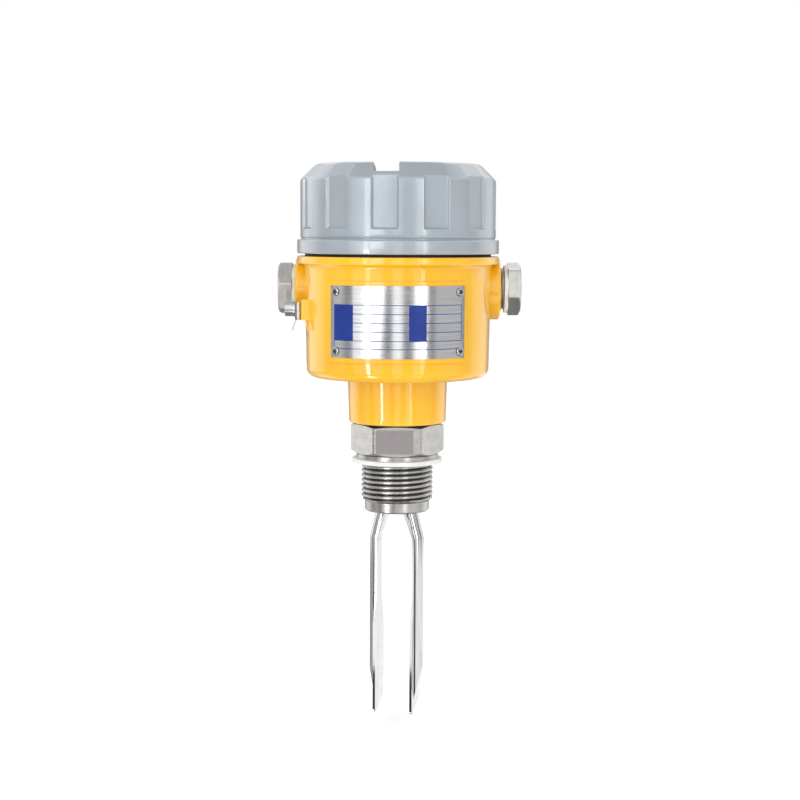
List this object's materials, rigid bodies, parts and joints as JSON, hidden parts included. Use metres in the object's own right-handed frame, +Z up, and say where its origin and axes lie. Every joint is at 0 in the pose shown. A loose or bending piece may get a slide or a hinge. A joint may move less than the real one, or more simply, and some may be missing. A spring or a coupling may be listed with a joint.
{
  "type": "tuning fork level switch",
  "caption": "Vibrating fork point level switch: cast housing with fluted screw cap, conduit plugs, wiring terminals inside, and a threaded hexagon fitting that carries the fork.",
  "frame": {"origin": "on the thread's axis at the sealing face, where the flat gasket meets the collar under the hexagon", "axes": "+Z up the axis towards the cap, -Z down to the fork tips, -Y out of the nameplate, the conduit entries along X"},
  "size_m": [0.1127, 0.093, 0.256],
  "materials": {
    "housing_enamel": "glossy warm yellow enamel on a smooth casting",
    "cap_enamel": "semi-gloss grey enamel on a smooth casting",
    "nameplate_steel": "bright brushed plate with blue printed fields and no words",
    "turned_steel": "turned stainless steel",
    "polished_steel": "mirror-polished stainless steel",
    "small_hardware": "plain stainless hardware",
    "brass_parts": "plain brass",
    "black_rubber": "matt black rubber",
    "white_gasket": "white gasket",
    "ceramic": "white ceramic",
    "piezo_ceramic": "silvered drive ceramic",
    "wire_sleeve": "red wire sleeve",
    "insert_plastic": "black moulded insert",
    "board": "green circuit board",
    "terminal_plastic": "green terminal block",
    "switch_red": "red switch block",
    "slider_white": "white knobs",
    "trimmer_blue": "blue trimmer case",
    "lamp_lens": "tinted lamp lens",
    "relay_case": "dark component case"
  },
  "bodies": {
    "sensor_housing": {"housing": "housing_enamel", "nameplate": "nameplate_steel", "nameplate_screws": "small_hardware", "ground_clamp": "small_hardware", "ground_lock_washer": "small_hardware", "ground_screw": "small_hardware", "process_connection": "turned_steel", "process_gasket": "white_gasket", "neck_seal_ring": "black_rubber", "fork": "polished_steel", "drive_bolt": "small_hardware", "drive_nut": "small_hardware", "lower_insulator": "ceramic", "upper_insulator": "ceramic", "piezo_discs": "piezo_ceramic", "contact_foils": "brass_parts", "sensor_wires": "wire_sleeve", "insert_cup": "insert_plastic", "insert_cover": "insert_plastic", "insert_screws": "small_hardware", "circuit_board": "board", "terminal_block": "terminal_plastic", "terminal_screws": "brass_parts", "mode_switch_block": "switch_red", "delay_trimmer_body": "trimmer_blue", "status_lamps": "lamp_lens", "relay": "relay_case", "transformer": "relay_case", "storage_capacitor": "relay_case"},
    "cap_seal": {"cap_seal_ring": "black_rubber"},
    "cap": {"screw_cap": "cap_enamel"},
    "left_washer": {"left_plug_washer": "white_gasket"},
    "left_conduit_plug": {"left_plug": "turned_steel"},
    "right_washer": {"right_plug_washer": "white_gasket"},
    "right_conduit_plug": {"right_plug": "turned_steel"},
    "failsafe_knob": {"failsafe_slider": "slider_white"},
    "density_knob": {"density_slider": "slider_white"},
    "delay_rotor": {"delay_trimmer_rotor": "slider_white"}
  },
  "joints": [
    {"name": "cap_turn", "type": "hinge", "parent": "sensor_housing", "child": "cap_seal", "pos_m": [0, 0, 0.0947], "axis": [0, 0, 1], "range_deg": [0, 2160]},
    {"name": "cap_lift", "type": "slide", "parent": "cap_seal", "child": "cap", "axis": [0, 0, 1], "range_m": [0, 0.012]},
    {"name": "left_plug_travel", "type": "slide", "parent": "sensor_housing", "child": "left_washer", "axis": [-1, 0, 0], "range_m": [0, 0.012]},
    {"name": "left_plug_turn", "type": "hinge", "parent": "left_washer", "child": "left_conduit_plug", "pos_m": [-0.0491, 0.009, 0.0783], "axis": [-1, 0, 0], "range_deg": [0, 2880]},
    {"name": "right_plug_travel", "type": "slide", "parent": "sensor_housing", "child": "right_washer", "axis": [1, 0, 0], "range_m": [-0.00188, 0.01015]},
    {"name": "right_plug_turn", "type": "hinge", "parent": "right_washer", "child": "right_conduit_plug", "pos_m": [0.0512, 0.009, 0.0783], "axis": [1, 0, 0], "range_deg": [-450, 2430]},
    {"name": "failsafe_slide", "type": "slide", "parent": "sensor_housing", "child": "failsafe_knob", "axis": [1, 0, 0], "range_m": [0, 0.0024]},
    {"name": "density_slide", "type": "slide", "parent": "sensor_housing", "child": "density_knob", "axis": [1, 0, 0], "range_m": [0, 0.0024]},
    {"name": "delay_turn", "type": "hinge", "parent": "sensor_housing", "child": "delay_rotor", "pos_m": [0.013, -0.013, 0.07], "axis": [0, 0, 1], "range_deg": [-135, 135]}
  ],
  "couplings": [
    {"joint": "cap_lift", "follows": "cap_turn", "m_per_rad": 0.00031831},
    {"joint": "left_plug_travel", "follows": "left_plug_turn", "m_per_rad": 0.00023873},
    {"joint": "right_plug_travel", "follows": "right_plug_turn", "m_per_rad": 0.00023873}
  ]
}
